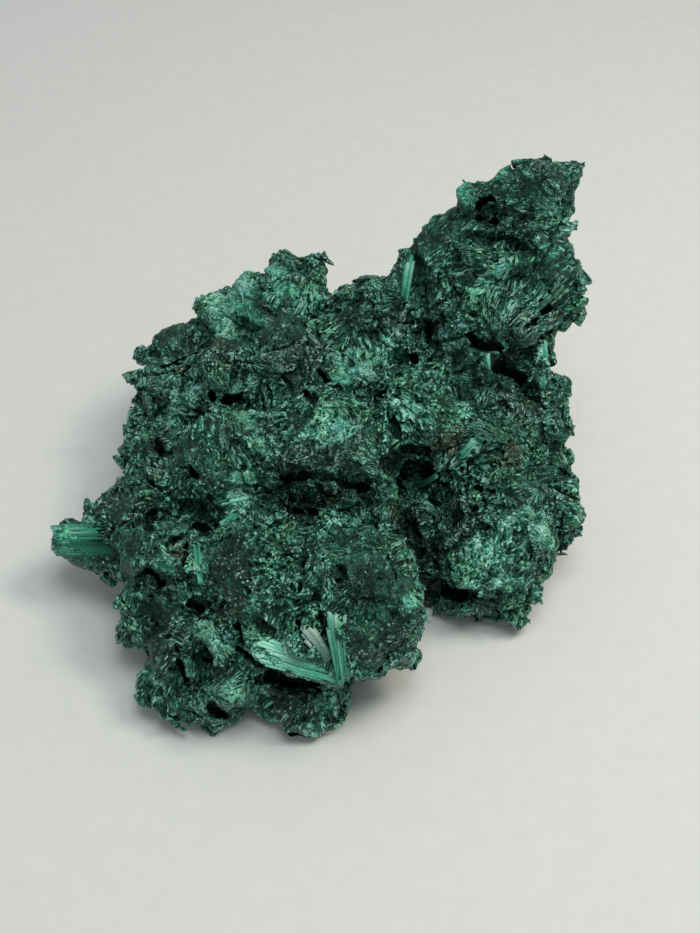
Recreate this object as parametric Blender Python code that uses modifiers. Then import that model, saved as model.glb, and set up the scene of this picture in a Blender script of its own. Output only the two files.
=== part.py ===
"""A fibrous malachite specimen: one vuggy mass of radiating crystal fans, grown together as a single solid.

The mass is a union of rounded lumps, one for each cluster of fans. Ledges, knobs and bundles of fibres
stand out of it, vugs are hollowed into it, and a plane trims the few lumps that it stands on. Sizes are in
millimetres until the mesh is finished, and then in metres. +X is right, +Y is back and +Z is up, with the
rest plane at z = 0.
"""

import math

import bmesh
import bpy
from mathutils import Euler, Matrix, Vector, noise

NAME = "malachite"
MM = 0.001

# Driving dimensions, in millimetres.
SKIN_VOXEL = 0.9  # grid on which the lumps are fused into one skin
TRIANGLES = 9600  # budget of the finished solid
LUMP_ROUGHNESS = 0.22  # how far a lump departs from an ellipsoid, as a share of its size
VUG_ROUGHNESS = 0.75  # the same for the vugs, which are ragged
BLEND_STEPS = 9  # smoothing that lets neighbouring lumps flow together
SHAPE_WAVES = 1.7  # bumps to a half-size, in that roughness
SEED_STEP = 7.3  # how far apart neighbours lie in the noise that roughens them
KNOB_BLEND_STEPS = 2  # lighter smoothing that only seats the knobs
SWELL = 0.9  # growth of the whole skin, which makes up for that smoothing
HUMP_SIZE, HUMP_HEIGHT = 8.5, 2.6  # large humps and hollows
CREVICE_SIZE, CREVICE_DEPTH = 7.0, 1.7  # crevices between the fans
CREVICE_WIDTH = 0.35  # their width, as a share of their spacing
CREVICE_SHARPNESS = 1.5
FAN_RIDGES, FAN_HEIGHT = 4.5, 1.1  # ridges to a radian, and their height, that radiate along the fibres
WANDER = 0.6  # how far the detail drifts, as a share of the size of a hump
WANDER_OFFSETS = (Vector((0, 0, 0)), Vector((31, 7, 0)), Vector((0, 17, 41)))
GRAIN_SIZE, GRAIN_HEIGHT = 2.4, 0.7  # the coarse grain of the crust
TRIM_BOX = 60.0  # half-size of the block that trims the feet
GREEN = (0.012, 0.06, 0.04, 1.0)  # dark malachite green
DULLNESS = 0.75  # roughness of the crust as a surface finish

# The mass. Each lump: centre (x, y, z) and half-sizes (x, y, z).
LUMPS = {
    # low core that carries everything
    "core": ((-8, -6, 13), (27, 29, 11)),
    "core_front": ((-10, -30, 10.5), (18, 13, 8)),
    "core_right": ((22, 2, 12), (17, 14, 9)),
    "core_back": ((-12, 18, 13), (21, 15, 11)),
    # front feet and lobes
    "front_foot": ((-9.2, -43.6, 4.2), (8.5, 6, 5.6)),
    "front_foot_right": ((-3.7, -44.2, 3.0), (4.5, 4.5, 3.8)),
    "left_foot": ((-24.6, -43.2, 4.5), (7.4, 6.5, 5.5)),
    "left_lobe_outer": ((-27.8, -38.5, 10), (7, 8, 8.5)),
    "left_lobe_inner": ((-20.5, -41.5, 11), (7.5, 7.5, 9)),
    "left_lobe_edge": ((-36.7, -31.6, 9.8), (5.2, 5.5, 6)),
    "left_lobe_corner": ((-31.9, -41.8, 6), (4.5, 4.5, 5.5)),
    # front shelf that overhangs the foot
    "shelf": ((1.5, -40, 19.5), (11.5, 8.5, 6.5)),
    "shelf_left": ((-10.5, -42, 19), (8, 5, 4.5)),
    "shelf_right": ((6.0, -37.4, 16.4), (6, 7.5, 9)),
    # top of the body, front to back
    "brow": ((1, -33, 25.5), (10.5, 9.5, 7)),
    "brow_left": ((-14, -31, 21), (11, 10, 9)),
    "cheek_left": ((-28.2, -27, 16.5), (9, 9, 9)),
    "shoulder_left": ((-34.5, -17.5, 15), (9, 8.5, 8)),
    "shoulder_edge": ((-40.6, -13.4, 15.8), (6, 6.5, 6)),
    "side_left": ((-33, -5, 17.5), (8, 9, 8)),
    "knob_left": ((-38.6, 4.6, 15.3), (5.5, 5, 5)),
    "back_left": ((-32.6, 14, 18), (7.8, 9, 8)),
    "back_left_edge": ((-31.5, 24.5, 19.2), (7.5, 7.5, 6.3)),
    "back_left_corner": ((-24.5, 29, 22.5), (6, 6, 6)),
    "round_mound": ((-22, 12, 24.5), (7.5, 7.5, 7.5)),
    "mid_left": ((-22, -8, 23), (9, 12, 10)),
    "plateau": ((-4, -9, 29), (13, 10.5, 9.5)),
    "mid_back": ((-6, 12, 26), (13, 12, 11)),
    "peak": ((-13.7, 31.5, 26), (9.5, 8, 10)),
    "peak_cap": ((-9.5, 37, 32.5), (5.5, 3.5, 4)),
    "saddle": ((5.2, 22, 27), (10, 10, 11.3)),
    "mid_right": ((11, -1, 25), (9, 11, 11)),
    # right flank
    "flank": ((23, 1, 20.5), (10, 11, 12.5)),
    "flank_edge": ((33.2, 2.5, 18.5), (7, 8.5, 11)),
    "flank_low": ((32, 8, 11), (9, 9, 8)),
    "lobe": ((27.8, -14.2, 15), (10.4, 10.5, 11)),
    "lobe_front": ((25, -21.8, 12.2), (9, 7, 9.2)),
    "lobe_edge": ((36.4, -10.6, 13.8), (5.5, 6.5, 7.2)),
    "lobe_foot": ((20.5, -19.5, 4.5), (7.5, 7, 5.5)),
    # spire
    "spire_root": ((24.5, 13, 28), (12.6, 9.5, 17)),
    "spire_root_left": ((13.5, 20.5, 33), (7.5, 8, 12)),
    "spire_middle": ((25, 19.5, 43), (12.5, 8, 11.5)),
    "spire_left": ((18, 24.5, 45.2), (7, 6, 7.8)),
    "spire_right": ((33.7, 17.5, 44), (7.5, 6.5, 9)),
    "spire_upper": ((26, 25, 53.6), (8.5, 6, 8)),
    "spire_top": ((32.3, 25, 60.9), (8.4, 4.8, 5.2)),
    "spire_edge": ((35.0, 22.5, 53), (4.5, 4.5, 5.5)),
    "spire_tip": ((38.6, 25.6, 63.0), (3.4, 2.6, 2.6)),
    # feet that are out of sight
    "rear_foot": ((-16, 24, 4.5), (10, 8, 5.5)),
    "rear_foot_right": ((24, 11, 4.5), (10, 8, 5.5)),
    "side_foot": ((-33, -6, 5), (8, 8, 6)),
    # beside the peak
    "peak_side": ((-5, 28, 28.5), (4.5, 4.5, 4.5)),
}

# Knobs, ledges and caps that stand out of the crust. Each: centre, half-sizes and turn in degrees.
KNOBS = {
    "tip_end": ((39.8, 25.8, 63.4), (2.6, 2.2, 1.9)),
    "spire_knob_1": ((37.2, 23, 54.8), (2.6, 2.2, 2.4)),
    "spire_knob_2": ((37.6, 20.5, 51), (2.3, 2, 2.2)),
    "spire_knob_3": ((38.8, 19, 46.6), (2.8, 2.4, 2.2)),
    "spire_knob_4": ((40.0, 17.6, 43.8), (2.6, 2, 2.2)),
    "spire_plate": ((31, 10.5, 42.5), (11, 2.8, 5.5), (20, -28, 32)),
    "under_knob": ((40.0, 14.2, 39.2), (2.6, 2.2, 2)),
    "flank_knob_1": ((38.2, 8, 27.4), (2.6, 2.2, 2.2)),
    "flank_knob_2": ((37.2, 5, 25), (2.4, 2.2, 2.2)),
    "flank_knob_3": ((36.8, 0.4, 21.4), (2.7, 2.4, 2.4)),
    "lobe_knob_1": ((37.2, -5.0, 18), (2.8, 2.4, 2)),
    "lobe_knob_2": ((32.2, -24, 8.6), (2.8, 2.6, 2.6)),
    "lobe_knob_3": ((30.9, -25.3, 6.8), (2.4, 2.6, 2.4)),
    "lobe_pendant": ((31.2, -27.2, 3.6), (2.6, 2.4, 2.6)),
    "plateau_lip": ((-3, -14.5, 33.8), (11, 6.5, 2.2), (-14, 0, -6)),
    "back_knob_1": ((-40.6, 17.3, 22), (2.2, 2, 2)),
    "back_knob_2": ((-40.3, 25, 20.8), (2.4, 2.2, 2.2)),
    "back_knob_3": ((-25.2, 32.3, 27), (2.8, 2.4, 2.4)),
    "peak_cap_left": ((-10.8, 37.8, 33.4), (2.6, 2.2, 1.8)),
    "peak_cap_right": ((-8.2, 37.6, 34.8), (2.6, 2.4, 1.9)),
    "peak_horn": ((-3.8, 36.0, 29.6), (2.6, 1.2, 1.1), (0, 12, 0)),
}

# Bundles of parallel fibres, broken off square. Each: foot, end, half-width at the foot and at the end, and
# thickness as a share of the width.
BUNDLES = {
    "finger": ((-36, -21.0, 11.6), (-52.9, -15.0, 13.0), 5.5, 3.8, 0.85),
    "fan_left": ((-1.5, -47.6, 15.5), (-15.5, -46.6, 20.6), 1.7, 2.2, 0.8),
    "fan_middle": ((-2.0, -47.8, 16.5), (-8.6, -44.6, 25.0), 1.2, 2.1, 0.7),
    "fan_right": ((-1.6, -47.6, 16.0), (-0.3, -44.9, 27.4), 1.4, 2.3, 0.7),
    "spire_tuft": ((9.4, 17.8, 39.6), (9.6, 22.8, 48.4), 1.9, 1.5, 0.9),
}

# Vugs hollowed into the mass. Each: centre, half-sizes and turn in degrees.
VUGS = {
    "spire_vug": ((25.3, 21.5, 57.5), (3.4, 7, 2.4), (-40, 0, 20)),
    "spire_vug_low": ((27.0, 18.5, 53.0), (4.4, 3.0, 1.6), (-30, 8, 0)),
    "plate_undercut": ((33.5, 8.5, 36.8), (7.5, 4.0, 2.4), (10, -28, 32)),
    "great_vug": ((10.5, -9, 21.5), (5.5, 8, 4.2), (-15, 0, 12)),
    "great_vug_right": ((15.5, -12.5, 19.5), (4, 5, 3.4)),
    "chasm": ((15.2, -25, 9), (2.2, 7, 9), (0, 0, 0)),
    "flank_vug": ((33, 2.5, 30.2), (5, 4, 2.2), (-25, 0, 0)),
    "lip_undercut": ((-5, -20.3, 30.8), (8.5, 3.5, 1.7), (-18, 0, -8)),
    "lobe_crevice": ((-24.2, -44.5, 15), (1.5, 4.5, 6), (0, 8, 0)),
    "lobe_hole": ((-18, -48.5, 7.6), (1.8, 3.2, 1.6)),
    "shelf_crevice": ((-14.8, -47.5, 14.8), (1.8, 4.2, 4.4), (0, 20, 0)),
    "shelf_undercut": ((-7.5, -48, 12.4), (7.5, 4.2, 1.9), (0, -4, 0)),
    "flank_notch": ((40.5, -1.0, 20.2), (5, 1.8, 7), (42, 0, 0)),
    "lobe_undercut": ((22.5, -29, 9.8), (5.5, 3.2, 1.9), (0, -10, 0)),
    "front_left_vug": ((-22.9, -37.6, 19), (2.0, 3.5, 2.2), (30, 0, 0)),
    "cheek_vug": ((-27.4, -18.2, 22), (2.2, 4.5, 2.2), (-20, 0, 0)),
    "finger_vug": ((-33.0, -24.5, 17), (3.4, 3.5, 1.8), (-20, 0, 20)),
    "round_mound_vug": ((-21.2, 4, 27.5), (2.6, 4, 1.9), (-35, 0, 10)),
    "round_mound_vug_left": ((-25, 4.6, 28), (1.7, 3.2, 1.5), (-35, 0, 0)),
    "middle_vug": ((6, 1, 31), (1.8, 3.5, 3), (-20, 0, 0)),
    "brow_vug": ((-1, -36, 32.5), (1.4, 3.2, 2.4), (-30, 0, -10)),
    "saddle_vug": ((14.8, 10.2, 36.5), (1.6, 3.5, 3.2), (-20, 0, -12)),
    "saddle_vug_low": ((12.6, 6.8, 33.2), (1.8, 3.2, 2.2), (-20, 0, 0)),
    "spire_side_vug": ((19, 14, 42.5), (2.2, 3.5, 1.6), (-30, 0, 10)),
}


def ellipsoid(bm, roughness, seed, centre, half_sizes, turn=(0, 0, 0)):
    """A rough ellipsoid: an icosphere pushed in and out by smooth noise."""
    made = bmesh.ops.create_icosphere(bm, subdivisions=4, radius=1.0)
    rotation = Euler([math.radians(angle) for angle in turn]).to_matrix()
    for vertex in made["verts"]:
        swell = 1.0 + roughness * noise.noise(vertex.co * SHAPE_WAVES + Vector((seed, 0, 0)))
        scaled = Vector(axis * half * swell for axis, half in zip(vertex.co, half_sizes))
        vertex.co = rotation @ scaled + Vector(centre)


def shapes(table, roughness):
    """One bmesh of all the ellipsoids of a table, each rough in its own way."""
    bm = bmesh.new()
    for number, shape in enumerate(table.values()):
        ellipsoid(bm, roughness, number * SEED_STEP, *shape)
    return bm


def fibre_bundles():
    """One bmesh of all the bundles."""
    bm = bmesh.new()
    for shape in BUNDLES.values():
        bundle(bm, *shape)
    return bm


def bundle(bm, foot, end, foot_width, end_width, flatness):
    """A flattened bundle of fibres from its foot to its broken end."""
    along = Vector(end) - Vector(foot)
    made = bmesh.ops.create_cone(
        bm, cap_ends=True, segments=16, radius1=foot_width, radius2=end_width, depth=along.length
    )
    turn = along.to_track_quat("Z", "Y").to_matrix()
    middle = (Vector(foot) + Vector(end)) / 2
    for vertex in made["verts"]:
        vertex.co.y *= flatness
        vertex.co = turn @ vertex.co + middle


def new_object(name, bm, collection):
    mesh = bpy.data.meshes.new(name)
    bm.to_mesh(mesh)
    bm.free()
    obj = bpy.data.objects.new(name, mesh)
    collection.objects.link(obj)
    return obj


def apply_modifiers(obj):
    graph = bpy.context.evaluated_depsgraph_get()
    mesh = bpy.data.meshes.new_from_object(obj.evaluated_get(graph))
    obj.modifiers.clear()
    obj.data = mesh


def fuse(obj, voxel=SKIN_VOXEL):
    """Makes one closed skin of overlapping closed shapes."""
    remesh = obj.modifiers.new("fuse", "REMESH")
    remesh.mode = "VOXEL"
    remesh.voxel_size = voxel
    apply_modifiers(obj)


def blend(obj, steps):
    smooth = obj.modifiers.new("blend", "SMOOTH")
    smooth.iterations = steps
    smooth.factor = 0.5
    apply_modifiers(obj)


def wander(point):
    """A smooth drift, unlike along each axis, that keeps the detail from looking even."""
    return Vector(WANDER * noise.noise(point + offset) for offset in WANDER_OFFSETS)


def relief(point):
    """Height of the surface detail over the blended skin at a point."""
    drift = wander(point / HUMP_SIZE)
    humps = noise.noise(point / HUMP_SIZE + drift)
    distances, cells = noise.voronoi(point / CREVICE_SIZE + drift)
    crevice = max(0.0, 1.0 - (distances[1] - distances[0]) / CREVICE_WIDTH)
    fan_root = cells[0] * CREVICE_SIZE
    fibre = (point - fan_root).normalized()
    ridges = noise.noise(fibre * FAN_RIDGES + fan_root)
    grain = noise.noise(point / GRAIN_SIZE)
    detail = FAN_HEIGHT * ridges + GRAIN_HEIGHT * grain
    return HUMP_HEIGHT * humps - CREVICE_DEPTH * crevice**CREVICE_SHARPNESS + detail


def displace(mesh):
    normals = [vertex.normal.copy() for vertex in mesh.vertices]
    for vertex, normal in zip(mesh.vertices, normals):
        vertex.co += normal * (SWELL + relief(vertex.co))


def add(obj, bm):
    """Grows more closed shapes into the skin."""
    bm.from_mesh(obj.data)
    bm.to_mesh(obj.data)
    bm.free()
    fuse(obj)


def cut(obj, cutter):
    boolean = obj.modifiers.new("cut", "BOOLEAN")
    boolean.operation = "DIFFERENCE"
    boolean.object = cutter
    apply_modifiers(obj)


def keep_largest(obj):
    """Drops sealed bubbles and loose crumbs, and keeps the one outer skin."""
    bm = bmesh.new()
    bm.from_mesh(obj.data)
    left = set(bm.verts)
    best = set()
    while left:
        stack = [left.pop()]
        found = set(stack)
        while stack:
            for edge in stack.pop().link_edges:
                for vertex in edge.verts:
                    if vertex in left:
                        left.remove(vertex)
                        found.add(vertex)
                        stack.append(vertex)
        if len(found) > len(best):
            best = found
    bmesh.ops.delete(bm, geom=[v for v in bm.verts if v not in best], context="VERTS")
    bm.to_mesh(obj.data)
    bm.free()


def thin_out(obj, triangles):
    """Brings the skin down to a budget of triangles, finest where it curves most."""
    obj.data.calc_loop_triangles()
    decimate = obj.modifiers.new("thin out", "DECIMATE")
    decimate.ratio = triangles / len(obj.data.loop_triangles)
    decimate.use_collapse_triangulate = True
    apply_modifiers(obj)


def malachite_material():
    material = bpy.data.materials.new("malachite")
    material.use_nodes = True
    shader = material.node_tree.nodes["Principled BSDF"]
    shader.inputs["Base Color"].default_value = GREEN
    shader.inputs["Roughness"].default_value = DULLNESS
    shader.inputs["Metallic"].default_value = 0.0
    return material


def resting_frame(obj):
    """The move from modelling axes in mm to metres, with the middle of the specimen's base at the origin."""
    low, high = Vector(obj.bound_box[0]), Vector(obj.bound_box[6])
    middle = Vector(((low.x + high.x) / 2, (low.y + high.y) / 2, 0))
    return Matrix.Scale(MM, 4) @ Matrix.Translation(-middle)


def main():
    for obj in list(bpy.data.objects):
        bpy.data.objects.remove(obj)
    collection = bpy.data.collections.new(NAME)
    cutters = bpy.data.collections.new("cutters")
    for made in (collection, cutters):
        bpy.context.scene.collection.children.link(made)

    specimen = new_object(NAME, shapes(LUMPS, LUMP_ROUGHNESS), collection)
    fuse(specimen)
    blend(specimen, BLEND_STEPS)
    add(specimen, shapes(KNOBS, LUMP_ROUGHNESS))
    blend(specimen, KNOB_BLEND_STEPS)

    vugs = new_object("vugs", shapes(VUGS, VUG_ROUGHNESS), cutters)
    fuse(vugs)
    cut(specimen, vugs)
    fuse(specimen)
    displace(specimen.data)
    add(specimen, fibre_bundles())
    keep_largest(specimen)
    thin_out(specimen, TRIANGLES)

    bm = bmesh.new()
    bmesh.ops.create_cube(bm, size=2 * TRIM_BOX, matrix=Matrix.Translation((0, 0, -TRIM_BOX)))
    rest_plane = new_object("rest_plane", bm, cutters)
    cut(specimen, rest_plane)
    keep_largest(specimen)

    frame = resting_frame(specimen)
    for obj in (specimen, vugs, rest_plane):
        obj.data.transform(frame)
    for cutter in (vugs, rest_plane):
        cutter.hide_render = True
        cutter.display_type = "WIRE"
    specimen.data.materials.append(malachite_material())


main()
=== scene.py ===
"""The look of the malachite specimen: its vuggy fibrous crust and silky blades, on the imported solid.

Sizes are in millimetres, and lengths in the frame are in metres. A place on the specimen is named by where
the photograph shows it, in pixels of its 700 by 933 frame, and is found on the solid along the camera's ray.
"""

import math
from itertools import product

import bmesh
import bpy
import numpy as np
import openvdb
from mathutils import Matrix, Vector
from mathutils.bvhtree import BVHTree

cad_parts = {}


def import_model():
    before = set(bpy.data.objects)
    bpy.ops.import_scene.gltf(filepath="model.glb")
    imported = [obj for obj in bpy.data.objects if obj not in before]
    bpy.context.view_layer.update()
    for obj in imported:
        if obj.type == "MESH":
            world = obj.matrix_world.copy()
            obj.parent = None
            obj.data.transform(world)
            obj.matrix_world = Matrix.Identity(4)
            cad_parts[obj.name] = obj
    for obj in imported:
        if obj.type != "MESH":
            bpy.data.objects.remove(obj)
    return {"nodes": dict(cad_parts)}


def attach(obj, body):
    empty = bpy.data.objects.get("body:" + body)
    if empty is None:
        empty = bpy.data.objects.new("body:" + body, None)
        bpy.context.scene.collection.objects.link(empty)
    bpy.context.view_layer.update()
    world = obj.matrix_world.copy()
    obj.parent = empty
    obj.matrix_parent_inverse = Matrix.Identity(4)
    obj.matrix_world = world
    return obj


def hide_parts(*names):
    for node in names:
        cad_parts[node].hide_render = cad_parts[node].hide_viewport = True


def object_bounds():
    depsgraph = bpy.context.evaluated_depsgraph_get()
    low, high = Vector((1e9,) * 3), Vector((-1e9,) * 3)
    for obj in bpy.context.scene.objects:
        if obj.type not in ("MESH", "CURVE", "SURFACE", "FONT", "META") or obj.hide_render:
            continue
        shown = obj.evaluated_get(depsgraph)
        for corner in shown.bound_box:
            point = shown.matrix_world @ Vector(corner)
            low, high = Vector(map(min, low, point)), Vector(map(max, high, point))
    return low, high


MM = 0.001
MICRONS = 1e6  # to a metre
NODE = "malachite"
BODY = "root"
LATTICE_SEED, LATH_SEED, BLADE_SEED = 7, 11, 12

# Camera, which stands as the photograph's did.
FRAME_WIDTH, FRAME_HEIGHT = 700, 933  # pixels
AIM = Vector((5.31, 4.80, 15.0))  # the point in the middle of the picture
CAMERA_PITCH = math.radians(48)
CAMERA_DISTANCE = 262.0
LENS, SENSOR = 54.02, 36.0  # the sensor's side is the picture's height
RIGHT = Vector((1, 0, 0))
LOOK = Vector((0, math.cos(CAMERA_PITCH), -math.sin(CAMERA_PITCH)))
UP = RIGHT.cross(LOOK)
SIGHT = np.array(LOOK, np.float32)  # vugs lead inward along this

# Noise. Each use of it has its own shift, so that no two line up.
CORNERS = tuple(product((0, 1), repeat=3))  # of a cell
NOISE_GAIN = 1.7  # brings gradient noise to about -1 to 1
NOISE_BLOCK, CELL_BLOCK = 1 << 18, 1 << 17  # points that are worked on at once
FAR, TINY = 1e9, 1e-6

# Crust.
VOXEL = 0.36  # grid on which the crust is carved
GRID_EDGE = 1.001  # voxels, a little over one, that keep a sample's cell inside the grid
BAND = 4.2  # depth of the skin that can be carved
RELIEF_REACH, RELIEF_FADE = 2.2, 0.7  # how far the broken surface reaches, and the share before it fades
SKIN_SPARE = 0.6  # how far below the deepest vug the field is still worked out
CRUST_PIECES = ("crust_front", "crust_front_middle", "crust_middle", "crust_back_middle", "crust_back")
CRUST_TRIANGLES = 850000  # all crust pieces together
FAN_SIZE = 8.5  # spacing of the fans' roots
ROOT_CLEAR = 0.3  # fibres have no direction closer to their root than this
DRIFT, DRIFT_SIZE = 1.6, 7.0  # how far smooth noise bends the fans, and its size
DRIFT_SHIFTS = (3.1, 17.7, 29.3)
COARSE_FIBRES, FINE_FIBRES = 7.0, 13.0  # fibres to a radian, seen from a root one fan away
COARSE_HEIGHT, FINE_HEIGHT = 0.24, 0.12
FIBRE_LENGTH = 3.5
SPLINTERS, SPLINTER_LENGTH = 3.4, 5.0  # splinters to a radian, and their length
SPLINTER_STEP, SPLINTER_TILT = 0.60, 0.20  # each has its own level and slope
CRACK_WIDTH, CRACK_DEPTH = 0.14, 0.35  # between splinters; the width is a share of theirs
CREVICE_WIDTH, CREVICE_DEPTH = 0.7, 0.8  # between fans
BLOCK_SIZE, BLOCK_STEP, BLOCK_TILT = 5.0, 1.0, 0.32  # broken blocks, each with its own level and slope
GAP_WIDTH, GAP_DEPTH = 0.4, 0.4  # between blocks
HUMP_HEIGHT, HUMP_SIZE, HUMP_SHIFT = 0.35, 3.6, 5.5
GRAIN_HEIGHT, GRAIN_SIZE, GRAIN_SHIFT = 0.10, 0.8, 3.3
# Scattered holes: the higher the bar, the fewer. Fine noise, a share of their height and size, roughens them.
PORE = {"size": 1.4, "depth": 1.8, "bar": 0.86, "fine": (0.4, 0.5), "steep": 0.8, "shifts": (55.1, 8.8)}
VUG = {"size": 3.2, "depth": 3.4, "bar": 0.79, "fine": (0.45, 0.45), "steep": 0.7, "shifts": (11.9, 2.2)}
VUG_ABOVE, VUG_BELOW, VUG_REACH = 3.0, 5.0, 7.0  # how far a named vug reaches out, in and around
VUG_RIM = ((0.7, 1.7, 61.0), (0.35, 0.8, 62.0))  # height, size and shift of the noise on its rim
NO_VUG = -9.0  # a point far outside every vug
SPONGY = 0.28  # how much more holes there are in the spongy patches
HOLE_DRIFT = ((0.2, 17.0, 41.3),)  # height, size and shift of the noise that gathers holes
CALM, FINE_CALM = 0.92, 0.55  # shares of the broken and the fibrous relief that smooth patches lose
BLADE_CALM = 1.5  # the relief is also calmer this close to a blade
PAINTED_HOLLOW_SHADE = 2.0  # painted shade: named hollows are darkened as if they lay this much deeper
CREST_ROUNDS = (2, 8)  # rounds of smoothing that rims and pits are measured against
CLEARANCE = 0.03  # kept inside the solid's box

# Loose crystals.
LATH_PIECE, BLADE_PIECE = "laths", "blades"
FLATTER = 0.6  # how thick a crystal is, as a share of its width
WAIST = 0.55  # where along its length a pointed crystal is widest
BAR_TAPER = 0.7  # of a broken crystal's lower end
LATHS = 9000
LATH_REACH = (0.5, 1.4)
LATH_WIDTH = (0.06, 0.13)  # half widths
LATHS_ANYWHERE, LATHS_SWEPT = 0.04, 0.3  # how many lie off the silk and in a sweep, as a share of those on it
LATH_LIFT, LATH_LIFT_SPREAD, LATH_STRAY = 0.04, 0.05, 0.06
LATH_BACK, LATH_OUT = 0.4, 0.02  # share of its length behind its place, and how far out of the skin it starts

BLADE_FIBRE = (0.05, 0.15)  # half widths of a blade's fibres, of which most are thin
SHEAF_FIBRES, FEWEST_SHEAVES = 45, 3  # fibres in each of a blade's sheaves
SHEAF_SPREAD = 1.3  # how widely a sheaf's fibres are strewn, as a share of its own width
LEVEL_SHARES, TONE_SHARES = (0.4, 0.6), (0.55, 0.45)  # of the sheaf, and of each fibre
ROOT_STEPS, TIP_STEPS = (0.30, 0.12), (0.34, 0.08)  # how far ends stand back, by sheaf and by fibre
TIP_POWER = 1.5  # makes few sheaves short
CROWN = 0.6  # how much lower a blade's edges lie than its middle
ROOT_LEVELS = (0.45, 0.55)  # height at the root, and what is gained towards the tip
SKEW = 0.5  # how much a sheaf can lean to a side
BLADE_SUNK = 0.2  # how deep the lowest of them lie
BLADE_RISE = 2.2  # how far they lift at most to clear a hump below them
BLADE_STATIONS = (0.25, 0.5, 0.75)  # where along a blade such humps are looked for

# Vugs: both ends of the mouth in pixels, and its half width.
VUGS = dict(
    spire_vug=((478, 205), (492, 198), 0.9), spire_slit=((480, 216), (494, 222), 0.5),
    tuft_hole=((428, 325), (430, 338), 0.8), tuft_hole_low=((414, 355), (416, 364), 0.7),
    saddle_hole=((379, 400), (386, 393), 1.1), grotto=((392, 466), (430, 472), 2.2),
    grotto_roof=((405, 450), (425, 450), 1.0), plate_cave=((500, 366), (521, 378), 1.5),
    plate_gap=((475, 345), (530, 352), 0.8), plate_left=((470, 335), (485, 345), 0.8),
    edge_gap=((528, 326), (550, 308), 0.7), middle_hole=((305, 392), (314, 400), 0.9),
    middle_hole_top=((318, 372), (326, 378), 0.6), mound_hole_left=((210, 396), (214, 397), 0.8),
    mound_hole=((225, 400), (237, 398), 1.0), cheek_line=((163, 430), (160, 456), 0.7),
    cheek_hole=((196, 476), (192, 470), 0.8), shoulder_hole=((149, 515), (148, 528), 0.9),
    arm_hole=((198, 528), (205, 533), 1.0), arm_gap=((172, 540), (183, 537), 0.8),
    arm_gap_low=((185, 546), (184, 564), 0.6), arm_pit=((148, 572), (160, 584), 0.9),
    blade_hole=((190, 604), (200, 610), 0.9), shelf_line=((237, 628), (242, 646), 0.6),
    left_lobe_gap=((177, 650), (186, 688), 0.6), left_lobe_hole=((212, 708), (220, 716), 1.2),
    shelf_low=((238, 650), (262, 668), 0.6), shelf_gap=((265, 666), (280, 671), 1.0),
    front_line=((306, 552), (298, 604), 0.3), lip_cave=((288, 510), (328, 513), 0.5),
    flange_line=((388, 556), (398, 584), 0.1), fan_left_gap=((298, 626), (309, 647), 0.5),
    fan_shadow=((268, 678), (318, 686), 1.1), fan_gap=((320, 614), (325, 636), 0.6),
    brow_hole=((341, 567), (344, 577), 0.6), chasm=((404, 512), (418, 552), 1.4),
    chasm_low=((446, 586), (458, 596), 1.4), lip_left=((283, 478), (318, 475), 0.8),
    lip_right=((318, 475), (366, 489), 0.7), lobe_underside=((440, 588), (465, 595), 1.4),
    lobe_slit=((480, 490), (495, 492), 0.6),
)
# Sweeps: the middle in pixels, its reach, and the root in pixels that its fibres spring from.
SWEEPS = dict(
    spire_plate=((530, 285), 9, (488, 345)), spire_top=((530, 185), 8, (560, 215)),
    spire_left=((440, 235), 7, (405, 300)), spire_flow=((478, 262), 5, (545, 258)),
    lobe_silk=((490, 568), 7, (482, 612)), tube=((188, 435), 6, (212, 388)),
    foot=((305, 705), 8, (306, 650)), left_lobe=((155, 680), 6, (190, 640)),
    flange=((410, 585), 4, (396, 560)), left_blade=((200, 565), 3, (199, 540)),
    turquoise=((235, 512), 4, (262, 499)), star=((410, 408), 5, (374, 392)),
    saddle_fan=((385, 350), 5, (400, 395)), peak=((290, 290), 6, (312, 262)),
    right_flank=((566, 500), 5, (540, 505)), lobe_left=((207, 650), 5, (207, 622)),
    finger=((75, 542), 7, (135, 556)),
)
# Blades: start and end in pixels, width at each, how far they stand out, tint and number of fibres.
GREEN_TINT, MINT_TINT, WHITE_TINT = 0, 1, 2
BLADES = dict(
    fan_white=((329, 660), (303, 627), 1.6, 2.8, 0.9, WHITE_TINT, 300),
    fan_right=((343, 681), (335, 604), 1.8, 3.8, 1.1, MINT_TINT, 520),
    fan_left=((340, 676), (254, 648), 3.0, 4.4, 0.9, MINT_TINT, 700),
    spire_tuft=((404, 302), (411, 250), 1.1, 1.9, 0.8, MINT_TINT, 220),
    hook=((458, 460), (477, 440), 0.8, 1.8, 0.7, MINT_TINT, 90),
    grotto_rim=((418, 486), (442, 472), 0.7, 0.9, 0.6, MINT_TINT, 60),
    arm_tuft=((150, 560), (176, 572), 0.6, 1.7, 0.6, MINT_TINT, 80),
    left_blade=((198, 545), (205, 587), 1.2, 2.2, 1.2, MINT_TINT, 220),
    turquoise_low=((254, 503), (218, 530), 0.8, 1.9, 0.8, MINT_TINT, 120),
    turquoise_high=((250, 498), (220, 503), 0.5, 1.2, 0.6, MINT_TINT, 80),
    middle_blade=((489, 369), (486, 350), 0.5, 0.8, 0.5, MINT_TINT, 50),
    right_blade=((545, 358), (543, 338), 0.8, 1.1, 0.5, MINT_TINT, 50),
    edge_blade=((575, 228), (560, 245), 1.0, 1.7, 0.5, WHITE_TINT, 60),
    low_blade=((543, 392), (541, 376), 0.7, 1.2, 0.5, MINT_TINT, 40),
    finger_top=((106, 532), (51, 528), 2.6, 3.0, 0.6, MINT_TINT, 600),
    finger_side=((114, 550), (55, 547), 2.8, 3.0, 0.3, GREEN_TINT, 460),
)
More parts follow.
